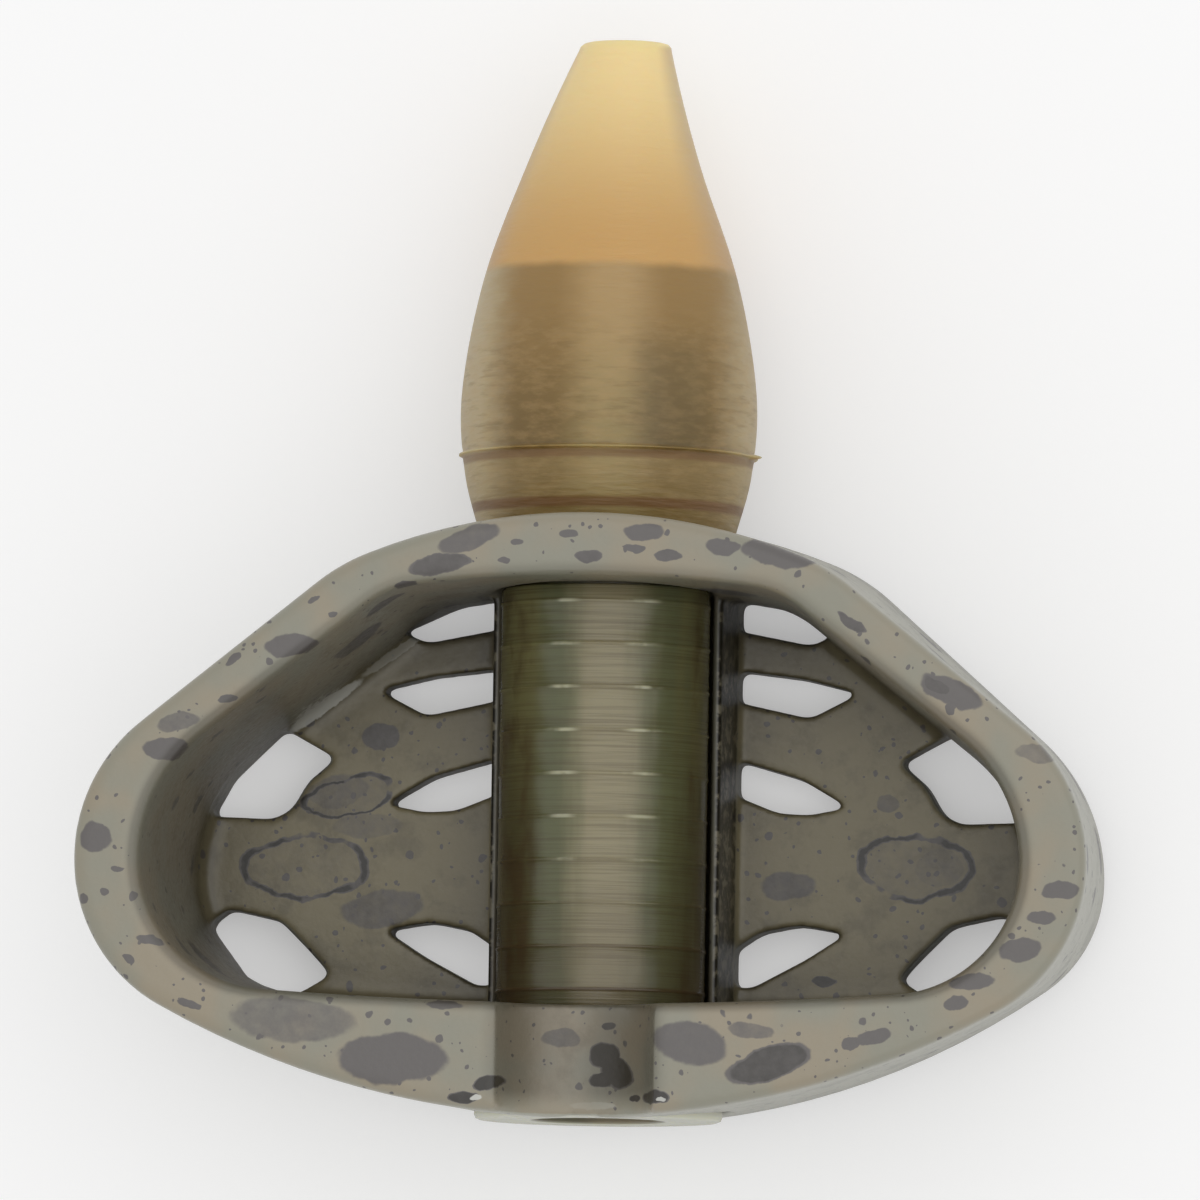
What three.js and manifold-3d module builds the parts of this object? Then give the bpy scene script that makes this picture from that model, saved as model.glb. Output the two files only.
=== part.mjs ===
// Banjo feeder: a cast dish for bait, a stem tube that runs through it and a rubber on the stem's tail.
// Millimetres. X runs across the dish, Y along the stem from nose to tail, Z up, out of the open dish.
// The origin is on the flat back, under the middle of the stem.
import * as THREE from 'three';
import { mergeVertices } from 'three/addons/utils/BufferGeometryUtils.js';
import Module from 'manifold-3d';

const wasm = await Module();
wasm.setup();

const DEGREE = Math.PI / 180;

// Dish, outside
const dishHalfWidth = 25.45;
const dishTailY = 15.1;
const dishNoseY = -15.1;
const widestY = -2.3;
const flankFacing = 51.4 * DEGREE;
const dishFlankRadius = 8.7;
const dishShoulderRadius = 10;
const dishTailBow = 1.4;
const dishNoseBow = 4.3;
const dishDepth = 18;
const backEdgeRadius = 2;
const rimEdgeRadius = 0.6;

// Dish, how the back differs from the rim: the side and nose lean in, the tail leans out
const backSideDraft = 0.65;
const backNoseDraft = 0.35;
const backTailFlare = 0.8;
const backFlankFacing = 47.6 * DEGREE;
const backFlankRadius = 9.7;
const backNoseBow = 5.9;

// Dish, inside: the widths of its rim, its floor and how its walls lean
const rimSide = 3.4;
const rimTail = 3.1;
const rimNose = 5.7;
const openingFlankRadius = 7.9;
const openingShoulderRadius = 5;
const openingTailBow = 0.5;
const openingNoseBow = 0.55;
const openingEdgeRadius = 0.7;
const floorThickness = 2.3;
const floorEdgeRadius = 0.9;
const sideWallLean = 0.8;
const noseWallLean = 0.3;

// Slots through the floor. Each is the right-hand one of a pair, as corners from the middle of the dish.
// Those beside the stem run in under its cradle.
const slotCornerRadius = 0.4;
const underCradle = 5.2;
const tailSlot = [[underCradle, 12], [8.3, 11.5], [11.2, 10.2], [9.8, 9.6], [underCradle, 10.5]];
const shoulderSlot = [[underCradle, 8.4], [9.4, 7.9], [12.3, 7.2], [9.8, 5.9], [underCradle, 6.9]];
const middleSlot = [[underCradle, 4], [9.4, 2.8], [11.8, 1.4], [9.8, 1], [8.2, 1.1], [underCradle, 2.3]];
const noseSlot = [
  [underCradle, -6.5], [7.4, -5], [9.4, -4.6], [11.8, -5], [9.8, -6.3], [7, -7.8], [underCradle, -7.7],
];
const flankSlot = [[20.8, 0.7], [17.5, 0.6], [16.6, 1.1], [15.8, 2.5], [14.4, 3.7], [17.1, 5.2], [19.7, 2.7]];
const cornerSlot = [
  [20.8, -4.9], [19.8, -4], [17.1, -4.6], [15.7, -6], [14.5, -7.3], [16.3, -8.4], [18.8, -7.6],
];
const slotClearance = 0.4;

// Stem: a ringed tube with a flange at the nose and a barbed spigot at the tail
const stemHeight = 7.75;
const stemRadius = 5.25;
const stemBoreRadius = 1.5;
const flangeRadius = 6.25;
const flangeThickness = 0.8;
const flangeSunk = 0.25;
const socketRadius = 3.2;
const socketDepth = 7;
const ringPitch = 2.17;
const ringCount = 10;
const ringHeight = 0.1;
const ringWidth = 0.4;
const spigotRadius = 4.6;
const spigotLength = 14;
const barbHeight = 0.2;
const barbCount = 3;
const barbPitch = 3.2;
const stemEdge = 0.25;

// What the dish has for the stem: a cradle with thin lips, seats at both ends and a groove in the nose
const stemClearance = 0.1;
const barbClearance = 0.2;
const cradleDrop = 0.75;
const cradleLip = 0.35;
const cradleFoot = 0.7;
const seatClearance = 0.1;
const tailSeatDepth = 0.7;
const flangeClearance = 0.3;
const rubberRecessClearance = 0.75;
const grooveRadius = 4;
const grooveDepth = 3.5;

// Tail rubber
const rubberLength = 25.1;
const rubberEndRadius = 6.4;
const rubberMouthRadius = 7.25;
const mouthLength = 3.4;
const rubberBellyRadius = 7.42;
const bellyAt = 7.5;
const rubberNeckRadius = 6.38;
const neckAt = 13.2;
const rubberTipRadius = 2.35;
const partingAt = 4.15;
const partingHeight = 0.12;
const partingWidth = 0.36;
const lineHoleRadius = 0.8;
const tipEdge = 0.4;
const socketClearance = 0.12;
const socketEndClearance = 0.3;

// How finely round things are cut
const roundSides = 48;
const edgeSteps = 4;
const tailBowSteps = 8;
const shoulderSteps = 10;
const sideSteps = 16;
const noseBowSteps = 14;
const rubberSteps = 30;
const beyond = 2;

// Sizes that follow from the ones above
const boreRadius = stemRadius + ringHeight + stemClearance;
const tailBoreRadius = spigotRadius + barbHeight + barbClearance;
const tailSeatY = dishTailY - tailSeatDepth;
const flangeFaceY = dishNoseY + flangeSunk;
const flangeInnerY = flangeFaceY + flangeThickness;
const noseSeatY = flangeInnerY + seatClearance;
const openingTailY = dishTailY - rimTail;
const openingNoseY = dishNoseY + rimNose;
const stemShoulderY = openingTailY - seatClearance;
const rubberBaseY = tailSeatY + seatClearance;
const spigotEndY = rubberBaseY + spigotLength;
const rubberTipY = rubberBaseY + rubberLength;

const dish = {
  flankFacing,
  halfWidth: dishHalfWidth,
  tailY: dishTailY,
  noseY: dishNoseY,
  flankRadius: dishFlankRadius,
  shoulderRadius: dishShoulderRadius,
  tailBow: dishTailBow,
  noseBow: dishNoseBow,
};

const dishBack = {
  ...dish,
  flankFacing: backFlankFacing,
  halfWidth: dish.halfWidth - backSideDraft,
  tailY: dish.tailY + backTailFlare,
  noseY: dish.noseY + backNoseDraft,
  flankRadius: backFlankRadius,
  noseBow: backNoseBow,
};

const opening = {
  flankFacing,
  halfWidth: dishHalfWidth - rimSide,
  tailY: openingTailY,
  noseY: openingNoseY,
  flankRadius: openingFlankRadius,
  shoulderRadius: openingShoulderRadius,
  tailBow: openingTailBow,
  noseBow: openingNoseBow,
};

const floor = {
  ...opening,
  halfWidth: opening.halfWidth - sideWallLean,
  noseY: opening.noseY + noseWallLean,
};

// Points on an arc, both ends included.
function arcPoints(centre, radius, from, to, steps) {
  return Array.from({ length: steps + 1 }, (_, i) => {
    const angle = from + ((to - from) * i) / steps;
    return new THREE.Vector2(centre.x + radius * Math.cos(angle), centre.y + radius * Math.sin(angle));
  });
}

// Radius of the shallow bow that rises by rise between two round corners, which it meets without a kink.
function bowRadius(cornerX, cornerRadius, rise) {
  return (cornerX ** 2 + rise ** 2 + 2 * cornerRadius * rise) / (2 * rise);
}

// Outline of the dish at one height, moved inwards by inset. Its right half goes from the middle of the
// tail over the shoulder, down the straight flank, round the side and along the nose.
function dishOutline(shape, inset = 0) {
  const side = shape.halfWidth - inset;
  const flankRadius = shape.flankRadius - inset;
  const shoulderRadius = shape.shoulderRadius - inset;
  const noseSideRadius = widestY - shape.noseY - shape.noseBow - inset;
  const facing = new THREE.Vector2(Math.cos(shape.flankFacing), Math.sin(shape.flankFacing));

  const flankCentre = new THREE.Vector2(side - flankRadius, widestY);
  const flankReach = facing.dot(flankCentre) + flankRadius;
  const shoulderY = shape.tailY - inset - shoulderRadius - shape.tailBow;
  const shoulderX = (flankReach - shoulderRadius - facing.y * shoulderY) / facing.x;
  const shoulder = new THREE.Vector2(shoulderX, shoulderY);
  const tailRadius = bowRadius(shoulderX, shoulderRadius, shape.tailBow);
  const tailCentre = new THREE.Vector2(0, shape.tailY - inset - tailRadius);
  const tailAngle = shoulder.clone().sub(tailCentre).angle();

  const noseSide = new THREE.Vector2(side - noseSideRadius, widestY);
  const noseRadius = bowRadius(noseSide.x, noseSideRadius, shape.noseBow);
  const noseCentre = new THREE.Vector2(0, shape.noseY + inset + noseRadius);
  const noseAngle = noseSide.clone().sub(noseCentre).angle() - 2 * Math.PI;

  const right = [
    ...arcPoints(tailCentre, tailRadius, Math.PI / 2, tailAngle, tailBowSteps),
    ...arcPoints(shoulder, shoulderRadius, tailAngle, shape.flankFacing, shoulderSteps).slice(1),
    ...arcPoints(flankCentre, flankRadius, shape.flankFacing, 0, sideSteps),
    ...arcPoints(noseSide, noseSideRadius, 0, noseAngle, sideSteps).slice(1),
    ...arcPoints(noseCentre, noseRadius, noseAngle, -Math.PI / 2, noseBowSteps).slice(1),
  ];
  const left = right.slice(1, -1).map((p) => new THREE.Vector2(-p.x, p.y));
  return [...left, ...right.reverse()];
}

// A closed skin over outlines at rising heights, all with the same number of points.
function loft(rings) {
  const count = rings[0].outline.length;
  const positions = rings.flatMap(({ outline, z }) => outline.flatMap((p) => [p.x, p.y, z]));
  const index = [];
  for (let ring = 0; ring < rings.length - 1; ring += 1) {
    for (let i = 0; i < count; i += 1) {
      const a = ring * count + i;
      const b = ring * count + ((i + 1) % count);
      index.push(a, b, b + count, a, b + count, a + count);
    }
  }
  const top = (rings.length - 1) * count;
  for (const [a, b, c] of THREE.ShapeUtils.triangulateShape(rings[0].outline, [])) {
    index.push(a, c, b);
  }
  for (const [a, b, c] of THREE.ShapeUtils.triangulateShape(rings.at(-1).outline, [])) {
    index.push(top + a, top + b, top + c);
  }
  const geometry = new THREE.BufferGeometry();
  geometry.setAttribute('position', new THREE.Float32BufferAttribute(positions, 3));
  geometry.setIndex(index);
  return geometry;
}

// Quarter round as pairs: how far in from the wall, and how far along it, at each step.
function quarterRound(radius) {
  return Array.from({ length: edgeSteps + 1 }, (_, i) => {
    const angle = (i / edgeSteps) * 90 * DEGREE;
    return { inward: radius * (1 - Math.sin(angle)), along: radius * (1 - Math.cos(angle)) };
  });
}

function toManifold(geometry) {
  const bare = geometry.clone();
  bare.deleteAttribute('normal');
  bare.deleteAttribute('uv');
  const merged = mergeVertices(bare);
  const mesh = new wasm.Mesh({
    numProp: 3,
    vertProperties: new Float32Array(merged.attributes.position.array),
    triVerts: new Uint32Array(merged.index.array),
  });
  return new wasm.Manifold(mesh);
}

function toGeometry(manifold) {
  const mesh = manifold.getMesh();
  const geometry = new THREE.BufferGeometry();
  geometry.setAttribute('position', new THREE.BufferAttribute(new Float32Array(mesh.vertProperties), 3));
  geometry.setIndex(new THREE.BufferAttribute(new Uint32Array(mesh.triVerts), 1));
  geometry.computeVertexNormals();
  return geometry;
}

// A cylinder around the stem's line, from one place along it to another.
function stemCylinder(radius, fromY, toY) {
  const geometry = new THREE.CylinderGeometry(radius, radius, toY - fromY, roundSides);
  geometry.translate(0, (fromY + toY) / 2, stemHeight);
  return toManifold(geometry);
}

// Outline part of the way from one to another, point by point.
function between(from, to, share) {
  return from.map((p, i) => p.clone().lerp(to[i], share));
}

// The outside of the casting, rounded at the back and a little at the rim.
function dishBlock() {
  const back = quarterRound(backEdgeRadius).map(({ inward, along }) => ({ inset: inward, z: along }));
  const rim = quarterRound(rimEdgeRadius).reverse()
    .map(({ inward, along }) => ({ inset: inward, z: dishDepth - along }));
  const rings = [...back, ...rim].map(({ inset, z }) => ({
    outline: between(dishOutline(dishBack, inset), dishOutline(dish, inset), z / dishDepth),
    z,
  }));
  return toManifold(loft(rings));
}

// The hollow of the dish, with a round foot to its walls and a round edge at its mouth.
function dishHollow() {
  const foot = quarterRound(floorEdgeRadius)
    .map(({ inward, along }) => ({ outline: dishOutline(floor, inward), z: floorThickness + along }));
  const mouth = quarterRound(openingEdgeRadius).reverse()
    .map(({ inward, along }) => ({ outline: dishOutline(opening, -inward), z: dishDepth - along }));
  return toManifold(loft([...foot, ...mouth]));
}

// A floor slot: its corners are rounded, and it is as deep as the floor and the round at its edge.
function slotCutter(corners, mirror) {
  const points = corners.map(([x, y]) => new THREE.Vector2(x * mirror, y));
  const shape = new THREE.Shape();
  points.forEach((corner, i) => {
    const before = points.at(i - 1).clone().sub(corner).setLength(slotCornerRadius).add(corner);
    const after = points[(i + 1) % points.length].clone().sub(corner).setLength(slotCornerRadius).add(corner);
    if (i === 0) {
      shape.moveTo(before.x, before.y);
    } else {
      shape.lineTo(before.x, before.y);
    }
    shape.quadraticCurveTo(corner.x, corner.y, after.x, after.y);
  });
  shape.closePath();
  const depth = beyond + floorThickness + floorEdgeRadius + slotClearance;
  const geometry = new THREE.ExtrudeGeometry(shape, { depth, bevelEnabled: false, curveSegments: 3 });
  geometry.translate(0, 0, -beyond);
  return toManifold(geometry);
}

// The block that the stem lies in, from wall to wall, before the stem's bore is cut through it.
function cradleBlock() {
  const top = boreRadius + cradleLip;
  const foot = boreRadius + cradleFoot;
  const shape = new THREE.Shape([
    new THREE.Vector2(-foot, 0),
    new THREE.Vector2(foot, 0),
    new THREE.Vector2(foot, floorThickness),
    new THREE.Vector2(top, stemHeight - cradleDrop),
    new THREE.Vector2(-top, stemHeight - cradleDrop),
    new THREE.Vector2(-foot, floorThickness),
  ]);
  const tailEnd = openingTailY + rimTail / 2;
  const noseEnd = openingNoseY - rimNose / 2;
  const geometry = new THREE.ExtrudeGeometry(shape, { depth: tailEnd - noseEnd, bevelEnabled: false });
  geometry.rotateX(90 * DEGREE);
  geometry.translate(0, tailEnd, 0);
  return toManifold(geometry);
}

// The half-round groove along the front of the nose.
function noseGroove() {
  const length = rimNose + 2 * beyond;
  const geometry = new THREE.CylinderGeometry(grooveRadius, grooveRadius, length, roundSides);
  geometry.translate(0, dishNoseY + rimNose / 2, dishDepth - grooveDepth + grooveRadius);
  return toManifold(geometry);
}

function feederBody() {
  let body = dishBlock().subtract(dishHollow());
  for (const corners of [tailSlot, shoulderSlot, middleSlot, noseSlot, flankSlot, cornerSlot]) {
    body = body.subtract(slotCutter(corners, 1)).subtract(slotCutter(corners, -1));
  }
  body = body.add(cradleBlock());
  const cuts = [
    stemCylinder(boreRadius, dishNoseY - beyond, openingTailY),
    stemCylinder(tailBoreRadius, openingTailY - beyond, dishTailY + beyond),
    stemCylinder(rubberEndRadius + rubberRecessClearance, tailSeatY, dishTailY + beyond),
    stemCylinder(flangeRadius + flangeClearance, dishNoseY - beyond, noseSeatY),
    noseGroove(),
  ];
  for (const cut of cuts) {
    body = body.subtract(cut);
  }
  return toGeometry(body);
}

// A piece turned about the stem's line, from a closed loop of [radius, place along the stem].
function turned(loop) {
  const points = [...loop, loop[0]].map(([radius, y]) => new THREE.Vector2(radius, y));
  const geometry = new THREE.LatheGeometry(points, roundSides);
  geometry.translate(0, 0, stemHeight);
  return toGeometry(toManifold(geometry));
}

// Low rings round the stem where it crosses the dish.
function stemRings() {
  const middleY = (openingTailY + openingNoseY) / 2;
  const firstY = middleY - ((ringCount - 1) / 2) * ringPitch;
  const places = Array.from({ length: ringCount }, (_, i) => firstY + i * ringPitch);
  return places.flatMap((y) => [
    [stemRadius, y - ringWidth / 2],
    [stemRadius + ringHeight, y],
    [stemRadius, y + ringWidth / 2],
  ]);
}

// Barbs that hold the rubber: a step that faces the nose and a slope towards the tail.
function spigotBarbs() {
  const places = Array.from({ length: barbCount }, (_, i) => spigotEndY - (barbCount - i) * barbPitch);
  return places.flatMap((y) => [
    [spigotRadius, y],
    [spigotRadius + barbHeight, y],
    [spigotRadius, y + barbPitch / 2],
  ]);
}

function stemTube() {
  const socketEndY = flangeFaceY + socketDepth;
  return turned([
    [socketRadius, flangeFaceY],
    [flangeRadius - stemEdge, flangeFaceY],
    [flangeRadius, flangeFaceY + stemEdge],
    [flangeRadius, flangeInnerY],
    [stemRadius, flangeInnerY],
    ...stemRings(),
    [stemRadius, stemShoulderY],
    [spigotRadius, stemShoulderY],
    ...spigotBarbs(),
    [spigotRadius, spigotEndY - stemEdge],
    [spigotRadius - stemEdge, spigotEndY],
    [stemBoreRadius, spigotEndY],
    [stemBoreRadius, socketEndY],
    [socketRadius, socketEndY],
  ]);
}

// The rubber's outside: a belly, a long taper to the tip and a fine ridge at its mould's parting line.
function rubberOutside() {
  const taperMiddle = (neckAt + rubberLength - tipEdge) / 2;
  const curve = new THREE.SplineCurve([
    new THREE.Vector2(rubberEndRadius, 0),
    new THREE.Vector2(rubberMouthRadius, mouthLength),
    new THREE.Vector2(rubberBellyRadius, bellyAt),
    new THREE.Vector2(rubberNeckRadius, neckAt),
    new THREE.Vector2((rubberNeckRadius + rubberTipRadius) / 2, taperMiddle),
    new THREE.Vector2(rubberTipRadius, rubberLength - tipEdge),
  ]);
  const profile = curve.getPoints(rubberSteps).map((p) => [p.x, p.y]);
  const before = profile.filter(([, y]) => y < partingAt - partingWidth);
  const after = profile.filter(([, y]) => y > partingAt + partingWidth);
  const nearRadius = (before.at(-1)[0] + after[0][0]) / 2;
  const ridge = [
    [nearRadius, partingAt - partingWidth / 2],
    [nearRadius + partingHeight, partingAt],
    [nearRadius, partingAt + partingWidth / 2],
  ];
  return [...before, ...ridge, ...after];
}

function tailRubber() {
  const hollowRadius = spigotRadius + barbHeight + socketClearance;
  const hollowEndY = spigotEndY + socketEndClearance;
  return turned([
    ...rubberOutside().map(([radius, y]) => [radius, rubberBaseY + y]),
    [rubberTipRadius - tipEdge, rubberTipY],
    [lineHoleRadius, rubberTipY],
    [lineHoleRadius, hollowEndY],
    [hollowRadius, hollowEndY],
    [hollowRadius, rubberBaseY],
  ]);
}

const castMetal = new THREE.MeshStandardMaterial({ color: 0xa5a091, roughness: 0.55, metalness: 0.1 });
const olivePlastic = new THREE.MeshStandardMaterial({ color: 0x5b5536, roughness: 0.25, metalness: 0 });
const amberRubber = new THREE.MeshStandardMaterial({ color: 0xc39a5c, roughness: 0.5, metalness: 0 });

function piece(name, geometry, material) {
  const mesh = new THREE.Mesh(geometry, material);
  mesh.name = name;
  return mesh;
}

const feeder = new THREE.Group();
feeder.add(
  piece('feeder_body', feederBody(), castMetal),
  piece('stem_tube', stemTube(), olivePlastic),
  piece('tail_rubber', tailRubber(), amberRubber),
);

export default feeder;
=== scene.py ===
# Banjo feeder: the looks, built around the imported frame.
# Sizes are in millimetres in the row frame and turn into metres where a piece is made.
import math

import bpy
import numpy as np
from mathutils import Matrix, Vector


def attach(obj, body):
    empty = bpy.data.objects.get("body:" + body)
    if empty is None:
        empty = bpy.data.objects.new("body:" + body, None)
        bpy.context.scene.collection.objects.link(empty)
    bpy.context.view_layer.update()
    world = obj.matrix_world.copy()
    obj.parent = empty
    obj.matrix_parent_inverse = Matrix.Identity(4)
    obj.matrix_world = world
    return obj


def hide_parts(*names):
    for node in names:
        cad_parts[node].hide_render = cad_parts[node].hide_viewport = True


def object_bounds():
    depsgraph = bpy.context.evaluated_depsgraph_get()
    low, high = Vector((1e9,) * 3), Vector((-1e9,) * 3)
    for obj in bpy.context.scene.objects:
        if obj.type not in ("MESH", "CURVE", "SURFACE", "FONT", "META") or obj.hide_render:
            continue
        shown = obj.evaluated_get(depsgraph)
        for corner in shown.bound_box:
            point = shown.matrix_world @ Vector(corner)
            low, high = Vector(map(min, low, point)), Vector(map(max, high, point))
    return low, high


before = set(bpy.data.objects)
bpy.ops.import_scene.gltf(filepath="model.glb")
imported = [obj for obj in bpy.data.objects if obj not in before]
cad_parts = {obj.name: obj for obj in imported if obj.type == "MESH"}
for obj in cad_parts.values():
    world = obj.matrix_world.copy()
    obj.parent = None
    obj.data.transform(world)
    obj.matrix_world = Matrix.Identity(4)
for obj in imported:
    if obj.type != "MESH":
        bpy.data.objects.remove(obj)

frame_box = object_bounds()

MM = 0.001

# Camera, as fitted to the photo: a long lens straight above, a little from the nose and the right
CAMERA_TARGET = (-0.16, 11.34, 9)
CAMERA_DISTANCE = 929
CAMERA_RIGHT = math.radians(7.04)
CAMERA_NOSEWARDS = math.radians(4.23)
CAMERA_ROLL = math.radians(0.9)
CAMERA_LENS = 553.7
CAMERA_SENSOR = 36
CAMERA_NEAREST = 10

# Light, as amounts of a plain white level of 1. The key's distance and size are in metres.
SKY_LEVEL = 0.8
KEY_LEVEL = 0.25
KEY_DIRECTION = (0.33, 0.15, 1)
KEY_DISTANCE = 0.5
KEY_SIZE = 0.6
FLOOR_GLOW = 0.37
FLOOR_COLOUR = 0.68
FLOOR_HALF = 1500
FLOOR_DROP = 0.05
BACKDROP_COLOUR = 0.88

# Dish
DISH_VOXEL = 0.16
DISH_SMOOTHING = 10
SMOOTHING_FACTOR = 0.5
WELD_DISTANCE = 0.001

# Turned pieces: their sides, steps along a curved outline, and the angle above which a corner stays crisp
TURNED_SIDES = 128
OUTLINE_STEPS = 16
SHARP_ANGLE = math.radians(50)

# Stem: the tube as in the frame, its finest edges rounder
STEM_HEIGHT = 7.75
STEM_RADIUS = 5.25
STEM_BORE_RADIUS = 1.5
FLANGE_RADIUS = 6.25
FLANGE_FACE_Y = -14.85
FLANGE_THICKNESS = 0.8
FLANGE_EDGE = 0.25
FLANGE_CORNER = 0.07
FLANGE_BACK_EDGE = 0.05
SOCKET_RADIUS = 3.2
SOCKET_DEPTH = 7
SOCKET_EDGE = 0.15
RING_FIRST_Y = -8.465
RING_PITCH = 2.17
RING_COUNT = 10
RING_HEIGHT = 0.06
RING_WIDTH = 0.3
RING_PROFILE = [(-1, 0), (-0.5, 0.5), (-0.2, 0.95), (0.2, 0.95), (0.5, 0.5), (1, 0)]
STEM_SHOULDER_Y = 11.9
SHOULDER_EDGE = 0.1
SPIGOT_RADIUS = 4.6
SPIGOT_END_Y = 28.5
SPIGOT_EDGE = 0.25
BARB_HEIGHT = 0.2
BARB_COUNT = 3
BARB_PITCH = 3.2
BARB_STEP = 0.02

# Rubber: as in the frame, with its parting line and a slight lean of its tip to the right
RUBBER_BASE_Y = 14.5
RUBBER_LENGTH = 25.1
RUBBER_OUTLINE = [(6.4, 0), (7.25, 3.4), (7.42, 7.5), (6.38, 13.2), (4.365, 18.95), (2.35, 24.7)]
RUBBER_TIP_EDGE = 0.4
RUBBER_TIP_TURNS = (30, 60, 90)
RUBBER_HOLE_RADIUS = 0.8
RUBBER_HOLE_EDGE = 0.1
RUBBER_HOLLOW_RADIUS = 4.92
RUBBER_HOLLOW_END_Y = 28.8
RUBBER_LEAN = 0.6
RUBBER_LEAN_FROM_Y = 31
PARTING_AT = 4.15
PARTING_HEIGHT = 0.2
PARTING_WIDTH = 0.3
PARTING_PROFILE = [(-0.6, 0), (-0.25, 0.3), (-0.1, 1), (0.1, 1), (0.25, 0.3), (0.6, 0)]
# A nub of flash on the parting line, on the right
NUB_Z = 8.4
NUB_HALF = 0.5
NUB_REACH = 0.3

# A change of tone at a level is spread over this much each way
TONE_EDGE = 0.1
WIDE_TONE_EDGE = 0.15

# The coat's tones. A pair holds where a change starts and where it is full, a share how strong it is.
RIM_SPOTS_ABOVE = 16.9
FLOOR_SPOTS_BELOW = 4.1
GROOVE_SPOTS_ABOVE = 14.1
GROOVE_HALF = 4
NOSE_WALL_Y = -9.25
CRADLE_X = (5.6, 6.7)
CRADLE_Y = (-9.35, 11.65)
CRADLE_BOTTOM_Z = 2.65
CRADLE_TOP_Z = 7.5
SPOT_TONE = (0.1, 0.5)
DARK_SPOT_TONE = (0.6, 1.05)
UNEVEN_TONE = 0.24
FLOOR_TONE_Z = (5, 2.5)
# Where the outer walls turn paler with a painted reflection
OUTSIDE_TONE = (4, 10)
OUTSIDE_TONE_Z = (18, 17)
# Painted shade on the inner walls, less of it towards the tail
INNER_WALL_TONE = (-1, -7)
INNER_WALL_SHARES = (0.42, 0.12)
INNER_WALL_SHARES_Y = (5, 11)
# Painted shade: the coat is darker where other faces lie within this reach
SHELTER_REACH = 6
SHELTER_TONE = (0.95, 0.2)
SHELTER_SHARE = 0.57
TAIL_FLOOR_Y = (2, 9)
TAIL_FLOOR_Z = (6, 4)
TAIL_FLOOR_SHARE = 0.2
STAIN_Z = (16, 14)
STAIN_SHARE = 0.3
# Painted shade in the nose groove, lightest a little left of its middle
GROOVE_TONE_X = (4.9, 3.4)
GROOVE_TONE_Z = (12, 13)
GROOVE_TONE_Y = (-14.6, -13.6)
GROOVE_PALE_X = -0.7
GROOVE_SIDE = (0.1, 2.4)
GROOVE_SIDE_SHARES = (0.22, 0.5)
# Heights over which the painted glints on the nose and the painted shine at the wall's foot come in
NOSE_GLINTS_Z = (14, 16)
FOOT_HIGHLIGHTS_Z = (13, 9)
COAT_ROUGHNESS = (0.3, 0.46)

# The stem's tones: distances are from the painted highlight band along it, or from the middle of the painted
# ring highlights
STEM_BAND_X = 0.8
STEM_BAND_WOBBLE = 1.6
STEM_GREEN = (0.6, 2.6)
STEM_EDGE = (2.8, 4.4)
STEM_EDGE_Y = (-2, 9)
STEM_NOSE_Y = (-1, -10)
STEM_NOSE_SHARE = 0.4
STEM_PATCHES = (3.4, 4.6)
STEM_PATCHES_SHARE = 0.6
STEM_LINES_SHARE = 0.35
STEM_FINE_LINES_SHARE = 0.3
STEM_RING_LINE = (0.06, 0.02)
STEM_RING_SHARE = 0.8
# Painted highlights as strokes on the rings
RING_HIGHLIGHT_X = 0.5
RING_HIGHLIGHT_START = (0.9, 1.8)
RING_HIGHLIGHT_END = (3.1, 2.1)
RING_HIGHLIGHT_Y = (-6, 2)
RING_HIGHLIGHT_SHARE = 0.75
FLANGE_TONE_Y = (-14, -14.1)
FLANGE_TONE_EDGE = 0.3

# The rubber's tones: distances are from the painted sheen along it, or from a line around it
RUBBER_BREAK_Y = 27.8
RUBBER_BREAK_WIDTH = 0.6
RUBBER_BREAK_WOBBLE = 0.3
# Painted reflection on the sides of the rubber's clear end
RUBBER_GREY_SIDE = (0.7, 1)
RUBBER_GREY_SHARE = 0.5
RUBBER_HIGH_Y = (18.5, RUBBER_BREAK_Y)
# Painted sheen along the rubber and paler sides as painted reflection
RUBBER_SHEEN_X = 0.8
RUBBER_SHEEN_WOBBLE = 1.1
RUBBER_SHEEN = (3, 0.4)
RUBBER_PALE_SIDE = (4.6, 7)
RUBBER_STREAKS_Y = (26, 22)
RUBBER_STREAKS_SHARE = 0.4
RUBBER_MOTTLE_Y = (26.5, 24)
RUBBER_MOTTLE_SHARE = 0.3
RUBBER_BAND_X = (1.6, 3)
RUBBER_BAND_END_X = (6.2, 4.8)
RUBBER_BAND_Y = (25.5, 22.5)
RUBBER_BAND_END_Y = (18, 19)
RUBBER_BAND_SHARE = 0.33
# Painted light at the rubber's foot
RUBBER_FOOT_Y = (18.6, 18.1)
RUBBER_FOOT_SHARE = 0.3
# Painted shadow lines: at the rubber's base and under the parting line
RUBBER_LINE_Y = 15.9
RUBBER_LINE = (0.35, 0.15)
RUBBER_LINE_SHARE = 0.8
UNDER_PARTING = 0.35
UNDER_PARTING_LINE = (0.3, 0.1)
UNDER_PARTING_SHARE = 0.6

# Grains of noise: how often it repeats in a millimetre across, along and up the piece
CRADLE_GRAIN = (1.3, 1.6, 1.3)
STEM_GRAIN = (1.1, 0.16, 1.1)
STEM_PATCHES_GRAIN = (0.5, 0.3, 0.5)
STEM_LINES_GRAIN = (0.12, 7, 0.12)
STEM_FINE_LINES_GRAIN = (0.2, 11, 0.2)
RUBBER_CLOUD_GRAIN = (0.5, 1.6, 0.5)
RUBBER_MOTTLE_GRAIN = (0.9, 2.2, 0.9)
RUBBER_RIPPLES_GRAIN = (0.5, 3.4, 0.5)

# A spot's depth is 1 in its middle and falls to 0 at this many times its size. The rest are such depths.
SPOT_REACH = 1.25
SPOT_EDGE = (0.1, 0.32)
RING_DEPTH = 0.24
RING_LINE = (0.09, 0.024)

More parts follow.
